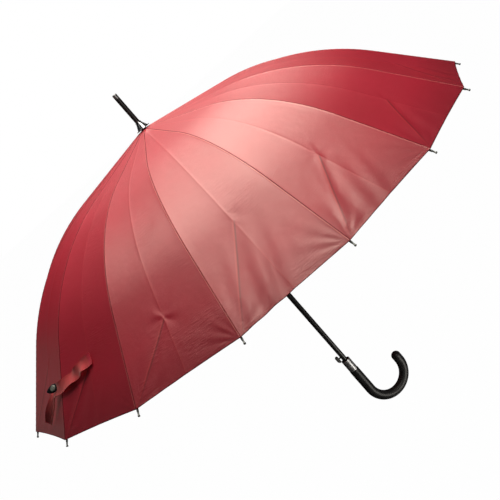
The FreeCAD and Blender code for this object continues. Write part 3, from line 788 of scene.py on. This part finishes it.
def closed_sheet(name, outer, normals, thickness, attributes, material):
    """A closed mesh from a grid of points: outer face, inner face and the rim round them."""
    count_i, count_j = outer.shape[:2]
    inner = outer - thickness * normals
    total = count_i * count_j
    verts = np.concatenate([outer.reshape(-1, 3), inner.reshape(-1, 3)])
    loop = border_of(count_i, count_j)
    after = np.roll(loop, -1)
    rim = np.stack([loop, after, after + total, loop + total], axis=1)
    faces = np.concatenate([grid_faces(count_i, count_j),
                            grid_faces(count_i, count_j, total, True), rim])
    mesh = bpy.data.meshes.new(name)
    mesh.from_pydata(verts.tolist(), [], faces.tolist())
    mesh.polygons.foreach_set("use_smooth", np.ones(len(faces), dtype=bool))
    for label, values in attributes.items():
        layer = mesh.attributes.new(label, "FLOAT", "POINT")
        layer.data.foreach_set("value", np.tile(values.reshape(-1), 2).astype(np.float32))
    both = np.concatenate([normals.reshape(-1, 3), -normals.reshape(-1, 3)])
    mesh.normals_split_custom_set_from_vertices(both.tolist())
    return put(name, mesh, material)


def make_canopy(material):
    """Each rib carries the cloth half a gore to either side, in an inner and an outer strip."""
    points, normals, distances = canopy_surface()
    rows = along_rows()
    half = CELLS_ACROSS // 2
    for rib in range(1, RIBS + 1):
        columns = (rib - 1) * CELLS_ACROSS + np.arange(-half, half + 1)
        columns %= len(points)
        for part, low, high, keep in (("inner", 0, ROWS_INNER, KEEP_INNER),
                                      ("outer", ROWS_INNER, len(rows) - 1, KEEP_OUTER)):
            chosen = np.ix_(columns, np.arange(low, high + 1))
            piece = closed_sheet(
                f"canopy_{part}_{rib:02d}", points[chosen], normals[chosen], CLOTH,
                {name: grid[chosen] for name, grid in distances.items()}, material)
            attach(piece, f"rib_{part}_{rib:02d}")
            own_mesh(piece)
            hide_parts("canopy")


def make_cap(material):
    """The middle of the canopy stays on the crown when the ribs fold."""
    angles = np.linspace(0, 2 * math.pi, 4 * RIBS + 1)
    reach = np.linspace(CAP_HOLE, CAP_END + CAP_LAP, 7)
    turn, along = np.meshgrid(angles, reach, indexing="ij")
    radius = radius_of(along)
    height = height_of(along) + CAP_LIFT
    outer = np.stack([radius * np.cos(turn), radius * np.sin(turn), height], axis=-1)
    slope = math.sin(SLOPE_1)
    normals = np.stack([slope * np.cos(turn), slope * np.sin(turn),
                        np.full_like(turn, math.cos(SLOPE_1))], axis=-1)
    # the cap shows no seam, hem or fold line, so it is kept far from all of them
    far = np.full_like(turn, 0.1)
    names = ("seam_distance", "hem_distance", "fold_distance", "branch_distance",
             "branch_share")
    attributes = {name: far for name in names}
    attributes["along_seam"] = along
    attributes["across_gore"] = turn * radius
    piece = closed_sheet("canopy_cap", outer, normals, CLOTH, attributes, material)
    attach(piece, "frame")
    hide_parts("canopy")


# ------------------------------------------------------------------ tip caps

def ring_solid(name, verts, sides, material):
    """A closed solid from rings of points, with a flat face at each end."""
    faces = []
    for ring in range(len(verts) // sides - 1):
        for k in range(sides):
            here = ring * sides + k
            beside = ring * sides + (k + 1) % sides
            faces.append((here, beside, beside + sides, here + sides))
    faces.append(tuple(range(sides))[::-1])
    faces.append(tuple(range(len(verts) - sides, len(verts))))
    mesh = bpy.data.meshes.new(name)
    mesh.from_pydata([tuple(v) for v in verts], [], faces)
    mesh.polygons.foreach_set("use_smooth", [len(face) == 4 for face in faces])
    return put(name, mesh, material)


def turned(name, profile, start, direction, material, sides=16):
    """A small turned piece: (distance along, radius) pairs, in millimetres, about a line."""
    along = direction.normalized()
    aside = along.orthogonal().normalized()
    other = along.cross(aside)
    verts = []
    for distance, radius in profile:
        for k in range(sides):
            angle = 2 * math.pi * k / sides
            outward = math.cos(angle) * aside + math.sin(angle) * other
            verts.append(start + along * (distance * MM) + radius * MM * outward)
    return ring_solid(name, verts, sides, material)


TIP_PROFILE = [(-3.0, 1.75), (3.0, 1.75), (3.5, 1.35), (8.2, 1.3), (8.6, 1.75), (9.4, 2.0),
               (10.4, 1.9), (11.0, 1.2)]


def make_tip_caps(material):
    """A metal cap on each rib's end, with a small head that holds the cloth's corner."""
    for rib in range(1, RIBS + 1):
        start = on_rib(rib, SEAM, ROD_DEPTH)
        direction = start - on_rib(rib, SEAM - 10 * MM, ROD_DEPTH)
        piece = turned(f"tip_cap_{rib:02d}", TIP_PROFILE, start, direction, material)
        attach(piece, f"rib_outer_{rib:02d}")


# ------------------------------------------------------------------ closing strap

STRAP_WIDTH = 20 * MM
STRAP_THICK = 1.1 * MM
# Along its run: gore, share of the gore's width, distance from the apex and height over the
# cloth (mm), twist about its own run (degrees), share of its full width.
STRAP_RUN = (
    (10, 0.54, 508, 1.2, 0, 1.0),
    (10, 0.47, 511, 3.0, -6, 1.0),
    (10, 0.40, 515, 5.5, 12, 1.0),
    (10, 0.31, 520, 4.0, -14, 1.0),
    (10, 0.22, 524, 3.0, 16, 1.0),
    (10, 0.12, 527, 5.0, 4, 1.0),
    (10, 0.02, 531, 5.0, -10, 1.0),
    (9, 0.92, 534, 5.5, 0, 1.0),
    (9, 0.865, 541, 6.0, 8, 0.95),
    (9, 0.82, 550, 7.0, -12, 0.88),
    (9, 0.765, 562, 8.0, -30, 0.84),
    (9, 0.70, 576, 8.5, -40, 0.78),
    (9, 0.63, 592, 7.0, -42, 0.62),
)


def through(values, shares):
    """A smooth curve through evenly spaced values (Catmull-Rom)."""
    values = np.asarray(values, dtype=float)
    before = 2 * values[0] - values[1]
    after = 2 * values[-1] - values[-2]
    padded = np.concatenate([[before], values, [after]])
    place = np.clip(shares, 0, 1) * (len(values) - 1)
    first = np.minimum(place.astype(int), len(values) - 2)
    t = (place - first).reshape((-1,) + (1,) * (values.ndim - 1))
    a, b, c, d = (padded[first + k] for k in range(4))
    return 0.5 * (2 * b + (c - a) * t + (2 * a - 5 * b + 4 * c - d) * t ** 2
                  + (3 * b - a - 3 * c + d) * t ** 3)


def strap_frames(count):
    """The strap's middle, its width and face directions, and its share of the full width."""
    middles = []
    faces = []
    for gore, share, along, height, _, _ in STRAP_RUN:
        normal = plain_normal(gore, np.array(along * MM))
        middles.append(plain_point(gore, share, np.array(along * MM)) + height * MM * normal)
        faces.append(normal)
    shares = np.linspace(0, 1, count)
    middle = through(middles, shares)
    face = through(faces, shares)
    twist = np.radians(through([row[4] for row in STRAP_RUN], shares))[:, None]
    width = through([row[5] for row in STRAP_RUN], shares)[:, None]
    run = np.gradient(middle, axis=0)
    run /= np.linalg.norm(run, axis=1, keepdims=True)
    across = np.cross(face, run)
    across /= np.linalg.norm(across, axis=1, keepdims=True)
    upright = np.cross(run, across)
    turned_across = across * np.cos(twist) + upright * np.sin(twist)
    turned_face = upright * np.cos(twist) - across * np.sin(twist)
    return middle, turned_across, turned_face, width


def make_strap(material):
    middle, across, face, width = strap_frames(72)
    shares = np.linspace(1, -1, 13)
    half = STRAP_WIDTH / 2 * width
    offset = shares[None, :, None] * half[:, None, :]
    # the edges curl up a little, most of all at the very rim
    curl = 0.9 * MM * shares ** 2 + 0.25 * MM * np.abs(shares) ** 12
    outer = middle[:, None] + offset * across[:, None] + curl[None, :, None] * face[:, None]
    down = np.gradient(outer, axis=0)
    beside = np.gradient(outer, axis=1)
    normals = np.cross(beside, down)
    normals /= np.linalg.norm(normals, axis=2, keepdims=True)
    length = np.concatenate([[0], np.cumsum(np.linalg.norm(np.diff(middle, axis=0), axis=1))])
    attributes = {
        "edge_distance": (1 - np.abs(shares))[None, :] * half,
        "along_strap": np.repeat(length[:, None], len(shares), axis=1)}
    piece = closed_sheet("strap", outer, normals, STRAP_THICK, attributes, material)
    with_strap(piece, "closure_strap")


def with_strap(piece, node):
    """The strap and its snap ride the closure strap, and gather in as the canopy folds."""
    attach(piece, "closure_strap")
    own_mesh(piece)
    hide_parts(node)


# The snap: gore, share of its width and distance from the apex (mm); how far it is turned
# about its own face, and the gore whose face it is parallel to.
SNAP_PLACE = (9, 0.905, 531)
SNAP_TURN = math.radians(-5)
SNAP_FACES = 11
SNAP_HEIGHT = 9.0 * MM
TAB_HALVES = (16 * MM, 7.5 * MM, 1.8 * MM)      # half its length, half its width, its rise
STUD_PROFILE = [(0.0, 5.2), (1.6, 5.2), (2.3, 4.6), (2.3, 3.6), (1.9, 3.3), (2.4, 2.3),
                (2.8, 0.9)]
STUD_LIFT = 0.6 * MM


def leaf(name, centre, long_way, short_way, normal, sizes, material):
    """A domed leaf shape: pointed at both ends, flat under."""
    long_half, short_half, rise = sizes
    rings = 7
    sides = 32
    verts = []
    for ring in range(rings + 1):
        lift = math.sin(ring / rings * math.pi / 2)
        shrink = math.cos(ring / rings * math.pi / 2) if ring < rings else 0.02
        for k in range(sides):
            angle = 2 * math.pi * k / sides
            x = math.cos(angle)
            y = math.copysign(abs(math.sin(angle)) ** 1.6, math.sin(angle))
            verts.append(centre + long_way * (x * long_half * shrink)
                         + short_way * (y * short_half * shrink) + normal * (lift * rise))
    return ring_solid(name, verts, sides, material)


def make_snap(black, metal):
    """The strap's black leaf-shaped tab and the worn metal stud in its middle."""
    gore, share, along = SNAP_PLACE
    spot = np.array(along * MM)
    lifted = Vector(plain_normal(gore, spot))
    centre = Vector(plain_point(gore, share, spot)) + SNAP_HEIGHT * lifted
    normal = Vector(plain_normal(SNAP_FACES, spot))
    level = Vector((0, 0, 1)).cross(normal).normalized()
    steep = normal.cross(level)
    long_way = level * math.cos(SNAP_TURN) + steep * math.sin(SNAP_TURN)
    short_way = normal.cross(long_way)
    tab = leaf("strap_tab", centre, long_way, short_way, normal, TAB_HALVES, black)
    with_strap(tab, "strap_stud")
    stud = turned("strap_snap", STUD_PROFILE, centre + STUD_LIFT * normal, normal, metal, 28)
    with_strap(stud, "strap_stud")


# ------------------------------------------------------------------ build

def dress(material, *names):
    """Give CAD nodes a material."""
    for name in names:
        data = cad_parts[name].data
        data.materials.clear()
        data.materials.append(material)


def numbered(stem):
    return [f"{stem}_{rib:02d}" for rib in range(1, RIBS + 1)]


def dress_hardware():
    dress(black_lacquer(), "shaft")
    dress(glass_fibre(), *numbered("rib_inner"), *numbered("rib_outer"))
    dress(black_steel(), *numbered("stretcher"))
    dress(moulded_black("moulded_black", 0.38, 0.5, (0.018, 0.018, 0.019)), "crown", "runner")
    dress(moulded_black("handle_black", 0.30, 0.40, (0.024, 0.024, 0.025)), "handle")
    dress(moulded_black("button_black", 0.26, 0.36, (0.016, 0.016, 0.017)), "release_button")
    dress(gunmetal(), "handle_collar")
    dress(bright_metal("spring_steel", (0.55, 0.55, 0.56)), "opening_spring")
    cap_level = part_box("ferrule")[1].z - 10 * MM
    dress(by_height("ferrule_finish", cap_level, (0.012, 0.012, 0.013), (0.30, 0.30, 0.31),
                    (0.32, 0.30), (0.0, 0.8)), "ferrule")
    disc_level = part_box("ferrule_cup")[0].z + 0.95 * MM
    dress(by_height("cup_finish", disc_level, (0.060, 0.004, 0.010), (0.86, 0.86, 0.88),
                    (0.5, 0.16), (0.0, 1.0)), "ferrule_cup")


make_camera()
make_floor()
make_world()
# the lamps were fitted to the photograph's colours and then adjusted by comparison
make_light("back_light", towards(135, 66), 1.3, 0.8, 6.2)
make_light("low_back_light", towards(135, 45), 1.3, 0.7, 1.4)
make_light("far_light", towards(180, 45), 2.6, 1.6, 5.0)
make_light("top_light", towards(45, 66), 1.3, 0.8, 9.4)
make_light("side_light", towards(-60, 70), 1.1, 0.5, 2.3)
make_light("front_light", towards(22, 14), 1.3, 0.7, 2.0)
make_light("left_light", towards(-115, 4), 1.3, 0.7, 0.25)
make_light("handle_light", towards(40, -28), 0.7, 0.45, 1.5, (0, 0, 0))
bpy.context.scene.view_settings.view_transform = "Standard"

dress_hardware()
cloth = satin_cloth()
make_canopy(cloth)
make_cap(cloth)
make_tip_caps(bright_metal("tip_metal", (0.30, 0.31, 0.29), 0.3, 0.5))
make_strap(webbing())
make_snap(moulded_black("tab_black", 0.3, 0.45, (0.010, 0.010, 0.011)),
          bright_metal("stud_metal", (0.34, 0.36, 0.31), 0.3, 0.45, 0.4))
